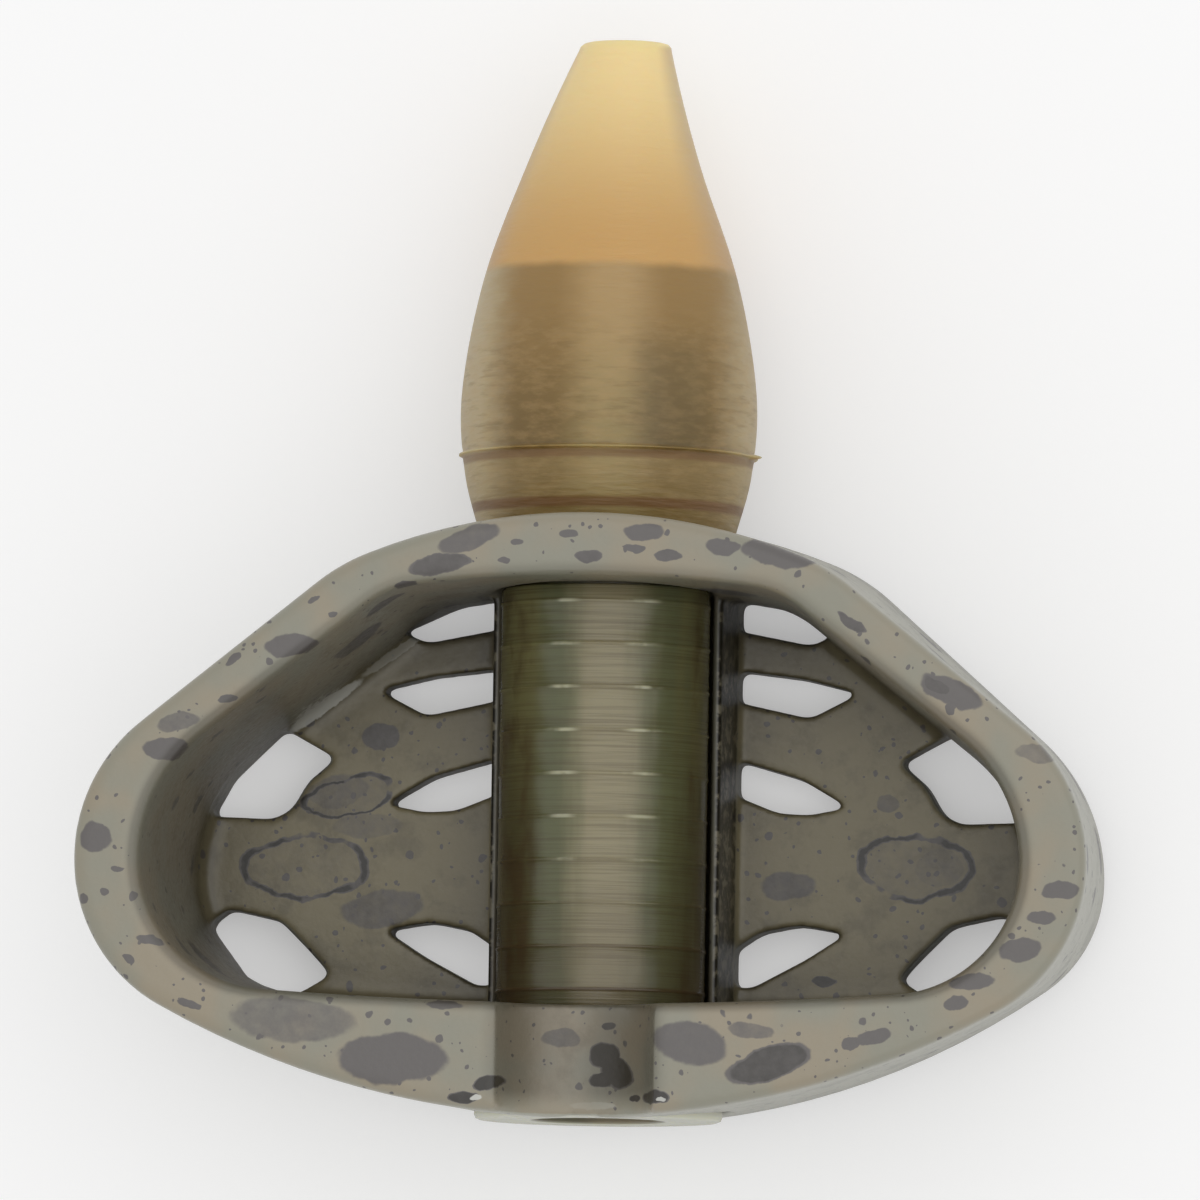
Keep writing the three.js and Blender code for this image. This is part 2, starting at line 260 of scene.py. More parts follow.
# Spots of the coat, seen from above: x, y, width, length, turn in degrees and how dark, from 0 to 1
LEFT_SPOTS = [
    (-24.2, -1.4, 1.8, 1.6, 0, 0.5), (-20.8, 3.1, 2.3, 1.1, 0, 0.55), (-20.2, 4.4, 2.2, 1, 8, 0.4),
    (-14.6, 8.3, 2.6, 1.2, 5, 0.6), (-7.2, 12.4, 3.2, 1, 8, 0.75), (-5.7, 13.7, 3.3, 1.2, 20, 0.45),
    (-12.5, 9.9, 0.5, 0.3, 30, 0.6), (-13.4, 10.6, 0.7, 0.3, 20, 0.5), (-17.5, 7.6, 1.1, 0.4, 38, 0.6),
    (-17.7, 5.6, 1, 0.4, 10, 0.7), (-8.9, 11.4, 1.1, 0.3, 15, 0.7), (-23.1, -2.9, 0.7, 0.3, 0, 0.5),
    (-23.8, -4.1, 0.4, 0.4, 0, 0.5), (-22.3, -4.3, 0.5, 0.5, 0, 0.6), (-22.5, -7.5, 0.7, 0.4, -30, 0.6),
    (-21.4, -6.5, 1.4, 0.5, -15, 0.5), (-19.3, -9.7, 1.2, 0.5, -20, 0.6),
]
NOSE_SPOTS = [
    (-14.2, -10.4, 6.7, 2.3, -3, 0.36), (-9.1, -12.3, 5.5, 2.6, 0, 0.55), (-6.6, -9.6, 1.9, 0.5, 0, 0.45),
    (-1, -11.1, 1.9, 1, 0, 0.38), (1.4, -10.4, 0.8, 0.4, 0, 0.8), (1.2, -11.9, 1.5, 1.3, 0, 1),
    (1.8, -12.7, 1.9, 1.4, -30, 1), (1, -13.1, 1.3, 0.7, 0, 1), (-4.3, -13.5, 1.5, 0.8, 10, 1),
    (-5.5, -14.2, 1.5, 0.6, 0, 0.9), (4, -14.1, 1.5, 0.6, 0, 0.95), (2.8, -14.1, 0.6, 0.4, 0, 0.9),
    (5.8, -11.4, 3.9, 2.2, -10, 0.48), (8.8, -10.7, 2.4, 0.9, -5, 0.38), (9.7, -12.4, 4.4, 1.7, 18, 0.85),
    (15, -11, 1.8, 0.9, 12, 0.55), (13.9, -11.3, 1, 0.6, 0, 0.6),
]
RIGHT_SPOTS = [
    (19, -9.3, 1.4, 0.7, 5, 0.55), (19.8, -8.2, 2.5, 1, 5, 0.5), (22.2, -6.6, 2.1, 1.1, 10, 0.55),
    (23.2, -5, 1.6, 0.7, 5, 0.5), (24.2, -3.6, 1.9, 1, 5, 0.6), (22.8, 3.2, 2.2, 1, -10, 0.34),
    (18.6, 6.2, 3.4, 1.3, -22, 0.5), (17.9, 6.5, 1.6, 0.6, -25, 0.75), (24.8, 1.4, 0.6, 0.4, 0, 0.5),
    (18.2, 8, 0.5, 0.3, 0, 0.8), (13.6, 9.6, 1.8, 0.5, -36, 0.75),
]
TAIL_SPOTS = [
    (9.9, 13.1, 4, 1.6, -8, 0.55), (7.1, 13.4, 1.8, 0.8, 0, 0.5), (-0.7, 14, 0.9, 0.5, 0, 0.5),
    (-3.3, 13.6, 0.7, 0.4, 0, 0.5), (-3.8, 12.6, 0.6, 0.3, 0, 0.55), (0.3, 12.9, 1.4, 0.7, 0, 0.7),
    (3.1, 14.1, 2.1, 0.9, 0, 0.5), (4.3, 12.9, 1.5, 0.6, 0, 0.7), (2.6, 13.3, 1.1, 0.4, 0, 0.6),
]
FLOOR_SPOTS = [
    (-12, 4.8, 2, 1.2, 0, 0.6), (-11.9, -3.9, 4.5, 1.9, 10, 0.38), (8.8, -2.6, 3, 1.6, 0, 0.42),
    (16.5, -1.6, 2.6, 2.2, 0, 0.3), (13.8, 1.6, 1.3, 0.9, 0, 0.36), (-12.7, 0.3, 3.8, 1.2, 0, 0.3),
    (10.7, -7.5, 1.1, 0.5, 0, 0.9), (-14.2, 2, 3.6, 1.7, 12, 0.34),
]
# Ringed spots of the floor, where the coat has pooled along an edge
FLOOR_RINGS = [
    (15.3, -1.6, 5.9, 3.3, -4, 0.24), (-15.9, -1.8, 6.6, 3.3, 0, 0.2), (-13.7, 1.8, 4.8, 2, 14, 0.24),
]
# Layers of specks: cells in a millimetre, share of the cells, size, channel of their colour and how dark
BLOTCHES = [(0.17, 0.6, 0.36, 1, 0.46), (0.4, 0.3, 0.3, 2, 0.46)]
SPECKS = [(0.9, 0.4, 0.26, 0, 0.5), (2.2, 0.45, 0.28, 2, 0.5)]
FLOOR_SPECKS = [(1.6, 0.4, 0.3, 1, 0.55)]
SPECK_EDGE = 0.03
SPECK_CHOICE_EDGE = 0.02
# Painted highlights: where the coat shines along the foot of the left wall, and glints on the nose's edge,
# by how bright
FOOT_HIGHLIGHTS = [(-14.9, 6.3, 4.6, 0.5, 37, 0.6), (-11.4, 9, 4, 0.4, 36, 0.3)]
NOSE_GLINTS = [
    (-4.9, -14.2, 0.6, 0.25, 10, 0.9), (0.6, -14.4, 2.3, 0.4, 0, 0.6), (4.4, -14.2, 0.5, 0.2, 0, 0.8),
]


def linear(red, green, blue):
    """A colour as it looks on a screen, from 0 to 255, turned into a shader's colour."""
    def channel(value):
        share = value / 255
        return share / 12.92 if share <= 0.04045 else ((share + 0.055) / 1.055) ** 2.4
    return (channel(red), channel(green), channel(blue), 1)


# Colours
COAT = linear(143, 141, 126)
COAT_WARM = linear(152, 142, 122)
COAT_SPOT = linear(98, 94, 92)
COAT_DARK_SPOT = linear(38, 35, 30)
# Painted highlight colour, for the glints on the nose's edge and the shine along the wall's foot
COAT_HIGHLIGHT = linear(205, 205, 198)
COAT_FLOOR = linear(138, 129, 101)
# Painted reflection of the white surroundings on the outer walls
COAT_OUTSIDE_REFLECTION = linear(166, 165, 152)
# Painted shade colour, also used for the stains
COAT_SHADE_AND_STAIN = linear(44, 38, 24)
# Mottled coat of the cradle's sides, darkened as painted shade
CRADLE_SHADE_DARK = linear(30, 28, 22)
CRADLE_SHADE_PALE = linear(128, 122, 104)
# Painted shade on the stem's sides
OLIVE_EDGE_SHADE = linear(80, 75, 48)
OLIVE_EDGE_SHADE_TAIL = linear(114, 110, 72)
OLIVE_GREEN = linear(98, 101, 70)
# Painted highlight along the stem's middle
OLIVE_MIDDLE_HIGHLIGHT = linear(146, 138, 108)
OLIVE_BROWN = linear(70, 52, 30)
# Painted highlight colour for the strokes on the rings
OLIVE_RING_HIGHLIGHT = linear(190, 188, 160)
OLIVE_FLANGE = linear(202, 202, 184)
AMBER = linear(206, 164, 100)
AMBER_TIP = linear(246, 222, 162)
RUBBER_DEEP_LOW = linear(118, 94, 44)
RUBBER_DEEP_HIGH = linear(154, 123, 70)
RUBBER_SHEEN_LOW = linear(152, 133, 84)
RUBBER_SHEEN_HIGH = linear(180, 150, 100)
RUBBER_SIDE_REFLECTION = linear(184, 166, 128)
# Painted shadow colour for the lines at the base and under the parting line
RUBBER_LINE_SHADOW = linear(118, 80, 38)
RUBBER_FOOT_LIGHT = linear(170, 146, 92)
RUBBER_SHADED = linear(84, 74, 38)
RUBBER_GREY_REFLECTION = linear(170, 148, 122)


class Paint:
    """A material being made. Calls add nodes and return an output; an input takes an output or a value."""

    def __init__(self, name):
        self.material = bpy.data.materials.new(name)
        self.material.use_nodes = True
        self.tree = self.material.node_tree
        self.tree.nodes.clear()

    def node(self, kind, inputs, **settings):
        node = self.tree.nodes.new(kind)
        for name, value in settings.items():
            setattr(node, name, value)
        for key, value in inputs.items():
            if isinstance(value, bpy.types.NodeSocket):
                self.tree.links.new(value, node.inputs[key])
            else:
                node.inputs[key].default_value = value
        return node

    def add(self, kind, inputs, output=0, **settings):
        return self.node(kind, inputs, **settings).outputs[output]

    def math(self, operation, *values):
        return self.add("ShaderNodeMath", dict(enumerate(values)), operation=operation)

    def all_of(self, *shares):
        share, *others = shares
        for other in others:
            share = self.math("MULTIPLY", share, other)
        return share

    def most_of(self, *shares):
        share, *others = shares
        for other in others:
            share = self.math("MAXIMUM", share, other)
        return share

    def ramp(self, value, low, high, start=0, end=1):
        """The start value at low and the end value at high, smooth between them."""
        inputs = {"Value": value, "From Min": low, "From Max": high, "To Min": start, "To Max": end}
        return self.add("ShaderNodeMapRange", inputs, interpolation_type="SMOOTHSTEP")

    def above(self, value, level, edge=TONE_EDGE):
        return self.ramp(value, level - edge, level + edge)

    def below(self, value, level, edge=TONE_EDGE):
        return self.ramp(value, level + edge, level - edge)

    def mix(self, share, first, second):
        """The first colour where share is 0, the second where it is 1."""
        return self.add("ShaderNodeMixRGB", {"Fac": share, "Color1": first, "Color2": second})

    def place(self):
        """The point on the piece, in millimetres in the row frame."""
        point = self.add("ShaderNodeTexCoord", {}, output="Object")
        return self.add("ShaderNodeVectorMath", {0: point, "Scale": 1 / MM}, operation="SCALE")

    def split(self, vector):
        return self.node("ShaderNodeSeparateXYZ", {0: vector}).outputs

    def noise(self, place, scale, detail=2, roughness=0.5):
        """Noise from 0 to 1 that repeats about scale times in a millimetre."""
        inputs = {"Vector": place, "Scale": scale, "Detail": detail, "Roughness": roughness}
        return self.add("ShaderNodeTexNoise", inputs)

    def patches(self, place, scale, low, high, **noise):
        """A share that comes and goes by noise: 0 where the noise is below low, 1 where it is above high."""
        return self.ramp(self.noise(place, scale, **noise), low, high)

    def wobble(self, value, amount, place, scale, **noise):
        """The value moved by noise, by up to half of amount each way."""
        centred = self.math("SUBTRACT", self.noise(place, scale, **noise), 0.5)
        return self.math("ADD", value, self.math("MULTIPLY", centred, amount))

    def warp(self, place, scale, amount):
        """The point moved about by noise, by up to half of amount each way."""
        inputs = {"Vector": place, "Scale": scale, "Detail": 2}
        colour = self.add("ShaderNodeTexNoise", inputs, output="Color")
        centred = self.add("ShaderNodeVectorMath", {0: colour, 1: (0.5, 0.5, 0.5)}, operation="SUBTRACT")
        shift = self.add("ShaderNodeVectorMath", {0: centred, "Scale": amount}, operation="SCALE")
        return self.add("ShaderNodeVectorMath", {0: place, 1: shift}, operation="ADD")

    def stretch(self, place, across, along, up):
        """The point with each of its three measures multiplied."""
        return self.add("ShaderNodeVectorMath", {0: place, 1: (across, along, up)}, operation="MULTIPLY")

    def from_above(self, place):
        """The point brought down to the back of the dish."""
        return self.stretch(place, 1, 1, 0)

    def apart(self, value, middle):
        return self.math("ABSOLUTE", self.math("SUBTRACT", value, middle))

    def bump(self, height, depth, **normal):
        """A bump of that depth in millimetres, on top of a normal where one is given."""
        return self.add("ShaderNodeBump", {"Height": height, "Distance": depth * MM, **normal})

    def finish(self, shader):
        self.node("ShaderNodeOutputMaterial", {"Surface": shader})
        return self.material


def make_object(name, mesh, body, material):
    piece = bpy.data.objects.new(name, mesh)
    bpy.context.scene.collection.objects.link(piece)
    mesh.materials.clear()
    mesh.materials.append(material)
    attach(piece, body)
    return piece


def place_camera():
    data = bpy.data.cameras.new("camera")
    data.lens = CAMERA_LENS
    data.sensor_width = CAMERA_SENSOR
    data.clip_start = CAMERA_NEAREST * MM
    camera = bpy.data.objects.new("camera", data)
    bpy.context.scene.collection.objects.link(camera)
    target = Vector(CAMERA_TARGET) * MM
    back = Vector((math.tan(CAMERA_RIGHT), -math.tan(CAMERA_NOSEWARDS), 1)).normalized()
    up = Vector((-math.sin(CAMERA_ROLL), math.cos(CAMERA_ROLL), 0))
    right = up.cross(back).normalized()
    turn = Matrix((right, back.cross(right), back)).transposed()
    camera.matrix_world = Matrix.Translation(target + back * CAMERA_DISTANCE * MM) @ turn.to_4x4()
    bpy.context.scene.camera = camera


def add_key():
    """A square soft box overhead. A face turned towards it gets about its level of light."""
    data = bpy.data.lights.new("key", "AREA")
    data.size = KEY_SIZE
    data.energy = KEY_LEVEL * math.pi ** 2 * KEY_DISTANCE ** 2
    lamp = bpy.data.objects.new("key", data)
    bpy.context.scene.collection.objects.link(lamp)
    away = Vector(KEY_DIRECTION).normalized()
    lamp.location = away * KEY_DISTANCE
    lamp.rotation_euler = away.to_track_quat("Z", "Y").to_euler()


def light_scene():
    scene = bpy.context.scene
    scene.view_settings.view_transform = "Standard"

    world = bpy.data.worlds.new("world")
    scene.world = world
    world.use_nodes = True
    tree = world.node_tree
    background = tree.nodes["Background"]
    path = tree.nodes.new("ShaderNodeLightPath")
    seen = path.outputs["Is Camera Ray"]
    for ray in ("Is Glossy Ray", "Is Transmission Ray"):
        either = tree.nodes.new("ShaderNodeMath")
        either.operation = "MAXIMUM"
        tree.links.new(seen, either.inputs[0])
        tree.links.new(path.outputs[ray], either.inputs[1])
        seen = either.outputs[0]
    level = tree.nodes.new("ShaderNodeMapRange")
    level.inputs["To Min"].default_value = SKY_LEVEL
    level.inputs["To Max"].default_value = 1
    tree.links.new(seen, level.inputs["Value"])
    tree.links.new(level.outputs[0], background.inputs["Strength"])
    background.inputs["Color"].default_value = (BACKDROP_COLOUR, BACKDROP_COLOUR, BACKDROP_COLOUR, 1)


def floor_material():
    paint = Paint("floor")
    grey = (FLOOR_COLOUR, FLOOR_COLOUR, FLOOR_COLOUR, 1)
    white = (BACKDROP_COLOUR, BACKDROP_COLOUR, BACKDROP_COLOUR, 1)
    shaded = paint.add("ShaderNodeBsdfDiffuse", {"Color": grey})
    glow = paint.add("ShaderNodeEmission", {"Color": (1, 1, 1, 1), "Strength": FLOOR_GLOW})
    seen = paint.add("ShaderNodeAddShader", {0: shaded, 1: glow})
    plain = paint.add("ShaderNodeBsdfDiffuse", {"Color": white})
    camera_ray = paint.add("ShaderNodeLightPath", {}, output="Is Camera Ray")
    return paint.finish(paint.add("ShaderNodeMixShader", {0: camera_ray, 1: plain, 2: seen}))


def make_floor():
    half = FLOOR_HALF * MM
    corners = [(-half, -half, 0), (half, -half, 0), (half, half, 0), (-half, half, 0)]
    mesh = bpy.data.meshes.new("floor")
    mesh.from_pydata(corners, [], [(0, 1, 2, 3)])
    mesh.materials.append(floor_material())
    floor = bpy.data.objects.new("floor", mesh)
    floor.location.z = frame_box[0][2] - FLOOR_DROP * MM
    bpy.context.scene.collection.objects.link(floor)


def spot_depths(paint, flat, table):
    """For each spot, how deep in it a point is, from 1 in its middle to 0 outside, and how dark it is."""
    for x, y, width, length, turn, dark in table:
        inputs = {
            "Vector": flat, "Location": (x, y, 0), "Rotation": (0, 0, math.radians(turn)),
            "Scale": (width / 2 * SPOT_REACH, length / 2 * SPOT_REACH, 1),
        }
        inside = paint.add("ShaderNodeMapping", inputs, vector_type="TEXTURE")
        yield paint.add("ShaderNodeTexGradient", {0: inside}, output="Fac", gradient_type="SPHERICAL"), dark


def spots(paint, flat, table):
    """How dark the spots make a point, from 0 to 1."""
    darkest = 0
    for depth, dark in spot_depths(paint, flat, table):
        darkest = paint.math("MAXIMUM", paint.ramp(depth, *SPOT_EDGE, 0, dark), darkest)
    return darkest


def edge_lines(paint, flat, table):
    """A dark line along the edge of each spot, from 0 to 1."""
    darkest = 0
    for depth, _ in spot_depths(paint, flat, table):
        line = paint.ramp(paint.apart(depth, RING_DEPTH), *RING_LINE)
        darkest = paint.math("MAXIMUM", line, darkest)
    return darkest


def specks(paint, place, layers):
    """How dark layers of small round spots make a point. Each spot lies in a cell of its own."""
    darkest = 0
    for scale, share, size, channel, dark in layers:
        inputs = {"Vector": place, "Scale": scale, "Randomness": 1}
        cells = paint.node("ShaderNodeTexVoronoi", inputs).outputs
        kept = paint.split(cells["Color"])
        chosen = paint.ramp(kept[channel], 1 - share, 1 - share + SPECK_CHOICE_EDGE)
        radius = paint.math("MULTIPLY", kept[(channel + 1) % 3], size)
        gap = paint.math("SUBTRACT", cells["Distance"], radius)
        speck = paint.all_of(paint.ramp(gap, SPECK_EDGE, -SPECK_EDGE), chosen, dark)
        darkest = paint.math("MAXIMUM", speck, darkest)
    return darkest


def cradle_share(paint, x, y, z):
    """1 on the outer sides of the cradle that the stem lies in, where the coat is painted darker as shade.
    """
    beside = paint.math("ABSOLUTE", x)
    return paint.all_of(
        paint.above(beside, CRADLE_X[0]), paint.below(beside, CRADLE_X[1]),
        paint.above(y, CRADLE_Y[0], WIDE_TONE_EDGE), paint.below(y, CRADLE_Y[1], WIDE_TONE_EDGE),
        paint.above(z, CRADLE_BOTTOM_Z, WIDE_TONE_EDGE), paint.below(z, CRADLE_TOP_Z),
    )


def facing_out(paint, place):
    """How far a face looks away from the dish's middle: below 0 on the inner walls."""
    inputs = {0: paint.add("ShaderNodeTexCoord", {}, output="Normal"), 1: paint.from_above(place)}
    return paint.add("ShaderNodeVectorMath", inputs, output="Value", operation="DOT_PRODUCT")


def coat_darkness(paint, place, x, y, z):
    """The camouflage pattern, from 0 on the bare coat to 1 on its darkest spots."""
    warped = paint.warp(paint.warp(place, 0.7, 0.6), 3, 0.14)
    loose = paint.warp(warped, 0.5, 1.6)
    flat = paint.from_above(warped)
    loose_flat = paint.from_above(paint.warp(warped, 0.5, 0.9))
    in_groove = paint.all_of(
        paint.below(paint.math("ABSOLUTE", x), GROOVE_HALF),
        paint.below(y, NOSE_WALL_Y, WIDE_TONE_EDGE),
        paint.above(z, GROOVE_SPOTS_ABOVE),
    )
    on_rim = paint.most_of(paint.above(z, RIM_SPOTS_ABOVE), in_groove)
    on_floor = paint.below(z, FLOOR_SPOTS_BELOW)
    elsewhere = paint.math("SUBTRACT", 1, paint.most_of(on_rim, on_floor))

    rim = spots(paint, flat, [*LEFT_SPOTS, *NOSE_SPOTS, *RIGHT_SPOTS, *TAIL_SPOTS])
    floor = paint.most_of(
        spots(paint, flat, FLOOR_SPOTS),
        spots(paint, loose_flat, FLOOR_RINGS),
        paint.all_of(edge_lines(paint, loose_flat, FLOOR_RINGS), paint.patches(place, 0.6, 0.3, 0.5)),
        specks(paint, warped, FLOOR_SPECKS),
    )
    dark = paint.most_of(
        paint.all_of(rim, on_rim),
        paint.all_of(floor, on_floor),
        paint.all_of(specks(paint, loose, BLOTCHES), elsewhere),
        specks(paint, warped, SPECKS),
    )
    return paint.wobble(dark, UNEVEN_TONE, place, 1.6, detail=5, roughness=0.6)


def bare_coat(paint, place, z, outwards):
    """The coat without its spots: warmer in patches, browner on the floor, and paler outside as a painted
    reflection of the white surroundings.
    """
    colour = paint.mix(paint.patches(place, 0.25, 0.35, 0.65), COAT, COAT_WARM)
    colour = paint.mix(paint.ramp(z, *FLOOR_TONE_Z), colour, COAT_FLOOR)
    # Painted reflection: the outer walls and the rim's outer edge paler, as a glossy coat mirrors the white
    # surroundings
    outside = paint.all_of(paint.ramp(outwards, *OUTSIDE_TONE), paint.ramp(z, *OUTSIDE_TONE_Z))
    return paint.mix(outside, colour, COAT_OUTSIDE_REFLECTION)


def coat_shades(paint, place, x, y, z, outwards):
    """Shares by which the coat is darker: painted shade where sheltered, on the inner walls and in the nose
    groove; darker on the tail floor; and stains.
    """
    reach = {"Distance": SHELTER_REACH * MM}
    open_share = paint.add("ShaderNodeAmbientOcclusion", reach, output="AO", samples=8)
    sheltered_shade = paint.all_of(paint.ramp(open_share, *SHELTER_TONE), SHELTER_SHARE)
    wall_share = paint.ramp(y, *INNER_WALL_SHARES_Y, *INNER_WALL_SHARES)
    inner_wall_shade = paint.all_of(paint.ramp(outwards, *INNER_WALL_TONE), wall_share)
    tail_floor = paint.all_of(paint.ramp(y, *TAIL_FLOOR_Y), paint.ramp(z, *TAIL_FLOOR_Z), TAIL_FLOOR_SHARE)
    stains = paint.patches(place, 0.5, 0.45, 0.7, detail=6, roughness=0.62)
    stain = paint.all_of(stains, paint.ramp(z, *STAIN_Z), STAIN_SHARE)
    groove_shade = paint.all_of(
        paint.ramp(paint.math("ABSOLUTE", x), *GROOVE_TONE_X),
        paint.ramp(z, *GROOVE_TONE_Z),
        paint.below(y, NOSE_WALL_Y, WIDE_TONE_EDGE),
        paint.ramp(y, *GROOVE_TONE_Y),
        paint.ramp(paint.apart(x, GROOVE_PALE_X), *GROOVE_SIDE, *GROOVE_SIDE_SHARES),
    )
    return sheltered_shade, inner_wall_shade, tail_floor, stain, groove_shade


def coat_colour(paint, place):
    x, y, z = paint.split(place)
    dark = coat_darkness(paint, place, x, y, z)
    outwards = facing_out(paint, place)
    colour = paint.mix(paint.ramp(dark, *SPOT_TONE), bare_coat(paint, place, z, outwards), COAT_SPOT)
    colour = paint.mix(paint.ramp(dark, *DARK_SPOT_TONE), colour, COAT_DARK_SPOT)

    # The cradle's sides: a mottled coat, made dark as painted shade beside the stem
    mottle = paint.patches(paint.stretch(place, *CRADLE_GRAIN), 1, 0.48, 0.62, detail=4, roughness=0.6)
    cradle_mottle_and_shade = paint.mix(mottle, CRADLE_SHADE_DARK, CRADLE_SHADE_PALE)
    colour = paint.mix(cradle_share(paint, x, y, z), colour, cradle_mottle_and_shade)
    # Painted shade where sheltered, on the inner walls and in the nose groove, a darker tail floor, and
    # stains
    for shade in coat_shades(paint, place, x, y, z, outwards):
        colour = paint.mix(shade, colour, COAT_SHADE_AND_STAIN)

    # Painted highlights: glints on the nose's edge and a shine along the foot of the left wall
    flat = paint.from_above(paint.warp(place, 3, 0.2))
    painted_highlights = paint.most_of(
        paint.all_of(spots(paint, flat, NOSE_GLINTS), paint.ramp(z, *NOSE_GLINTS_Z)),
        paint.all_of(spots(paint, flat, FOOT_HIGHLIGHTS), paint.ramp(z, *FOOT_HIGHLIGHTS_Z)),
    )
    return paint.mix(painted_highlights, colour, COAT_HIGHLIGHT)


def coat_material():
    """Satin camouflage coat: a grey-green base, grey blotches and fine specks."""
    paint = Paint("camouflage_coat")
    place = paint.place()
    grain = paint.noise(place, 4, detail=3)
    peel = paint.bump(paint.noise(place, 1.4, detail=3), 0.03)
    shader = paint.add("ShaderNodeBsdfPrincipled", {
        "Base Color": coat_colour(paint, place),
        "Roughness": paint.ramp(grain, 0, 1, *COAT_ROUGHNESS),
        "Normal": paint.bump(grain, 0.012, Normal=peel),
        "Coat Weight": 0.25,
        "Coat Roughness": 0.22,
    })
    return paint.finish(shader)


def stem_colour(paint, place, lines):
    """Greenish, browner and darker to the sides as painted shade, pale over the bore as a painted highlight,
    with painted highlights as strokes on the rings.
    """
    x, y, _ = paint.split(place)
    grain = paint.stretch(place, *STEM_GRAIN)
    aside = paint.wobble(paint.apart(x, STEM_BAND_X), STEM_BAND_WOBBLE, grain, 1, detail=3)
    colour = paint.mix(paint.ramp(aside, *STEM_GREEN), OLIVE_MIDDLE_HIGHLIGHT, OLIVE_GREEN)
    # Painted shade: the sides of the tube darker and browner, less so towards the tail
    edge = paint.mix(paint.ramp(y, *STEM_EDGE_Y), OLIVE_EDGE_SHADE, OLIVE_EDGE_SHADE_TAIL)
    colour = paint.mix(paint.ramp(aside, *STEM_EDGE), colour, edge)

    nosewards = paint.ramp(y, *STEM_NOSE_Y)
    patches = paint.patches(paint.stretch(place, *STEM_PATCHES_GRAIN), 1, 0.45, 0.65, detail=3)
    fine_lines = paint.patches(paint.stretch(place, *STEM_FINE_LINES_GRAIN), 1, 0.4, 0.7)
    brown_lines = paint.most_of(
        paint.all_of(paint.ramp(lines, 0.52, 0.68), STEM_LINES_SHARE),
        paint.all_of(fine_lines, STEM_FINE_LINES_SHARE),
    )
    turn = paint.math("DIVIDE", paint.math("SUBTRACT", y, RING_FIRST_Y), RING_PITCH)
    on_ring = paint.ramp(paint.math("PINGPONG", turn, 0.5), *STEM_RING_LINE)
    browner = (
        paint.all_of(nosewards, STEM_NOSE_SHARE),
        paint.all_of(paint.ramp(aside, *STEM_PATCHES), patches, STEM_PATCHES_SHARE),
        brown_lines,
        paint.all_of(on_ring, nosewards, STEM_RING_SHARE),
    )
    for share in browner:
        colour = paint.mix(share, colour, OLIVE_BROWN)

    # Painted highlights: light strokes on the rings on either side of the middle
    off_middle = paint.apart(x, RING_HIGHLIGHT_X)
    ring_highlight = paint.all_of(
        on_ring, paint.ramp(off_middle, *RING_HIGHLIGHT_START), paint.ramp(off_middle, *RING_HIGHLIGHT_END),
        paint.ramp(y, *RING_HIGHLIGHT_Y), paint.patches(place, 0.9, 0.3, 0.6), RING_HIGHLIGHT_SHARE,
    )
    colour = paint.mix(ring_highlight, colour, OLIVE_RING_HIGHLIGHT)
    inputs = {0: (0, 0, STEM_HEIGHT), 1: paint.stretch(place, 1, 0, 1)}
    off_line = paint.add("ShaderNodeVectorMath", inputs, output="Value", operation="DISTANCE")
    outside_socket = paint.ramp(off_line, SOCKET_RADIUS, SOCKET_RADIUS + FLANGE_TONE_EDGE)
    return paint.mix(paint.all_of(paint.ramp(y, *FLANGE_TONE_Y), outside_socket), colour, OLIVE_FLANGE)


def stem_material():
    """Glossy olive plastic, a little clear, with fine turned lines."""
    paint = Paint("olive_plastic")
    place = paint.place()
    lines = paint.noise(paint.stretch(place, *STEM_LINES_GRAIN), 1)
    shader = paint.add("ShaderNodeBsdfPrincipled", {
        "Base Color": stem_colour(paint, place, lines),
        "Roughness": 0.24,
        "Normal": paint.bump(lines, 0.02),
        "Subsurface Weight": 0.35,
        "Subsurface Scale": 1.2 * MM,
        "Subsurface Radius": (1, 0.85, 0.4),
    })
    return paint.finish(shader)


def clear_rubber(paint, y):
    """The end past the spigot: amber, paler at the tip and greyer where it turns away to the sides, as a
    painted reflection of the white surroundings.
    """
    tipwards = paint.ramp(y, RUBBER_BREAK_Y + RUBBER_BREAK_WIDTH, RUBBER_BASE_Y + RUBBER_LENGTH)
    colour = paint.mix(tipwards, AMBER, AMBER_TIP)
    sideways = paint.split(paint.add("ShaderNodeTexCoord", {}, output="Normal"))[0]
    # Painted reflection: greyer where the surface turns away to the sides
    turned_away_reflection = paint.ramp(paint.math("ABSOLUTE", sideways), *RUBBER_GREY_SIDE)
    return paint.mix(paint.all_of(turned_away_reflection, RUBBER_GREY_SHARE), colour, RUBBER_GREY_REFLECTION)


def rubber_shadow_lines(paint, y):
    """Painted shadows: the dark line near the base, where the rubber meets the dish, and the one under the
    parting line.
    """
    base_shadow = paint.ramp(paint.apart(y, RUBBER_LINE_Y), *RUBBER_LINE)
    under_y = RUBBER_BASE_Y + PARTING_AT - UNDER_PARTING
    under_parting_shadow = paint.ramp(paint.apart(y, under_y), *UNDER_PARTING_LINE)
    return paint.most_of(
        paint.all_of(base_shadow, RUBBER_LINE_SHARE),
        paint.all_of(under_parting_shadow, UNDER_PARTING_SHARE),
    )


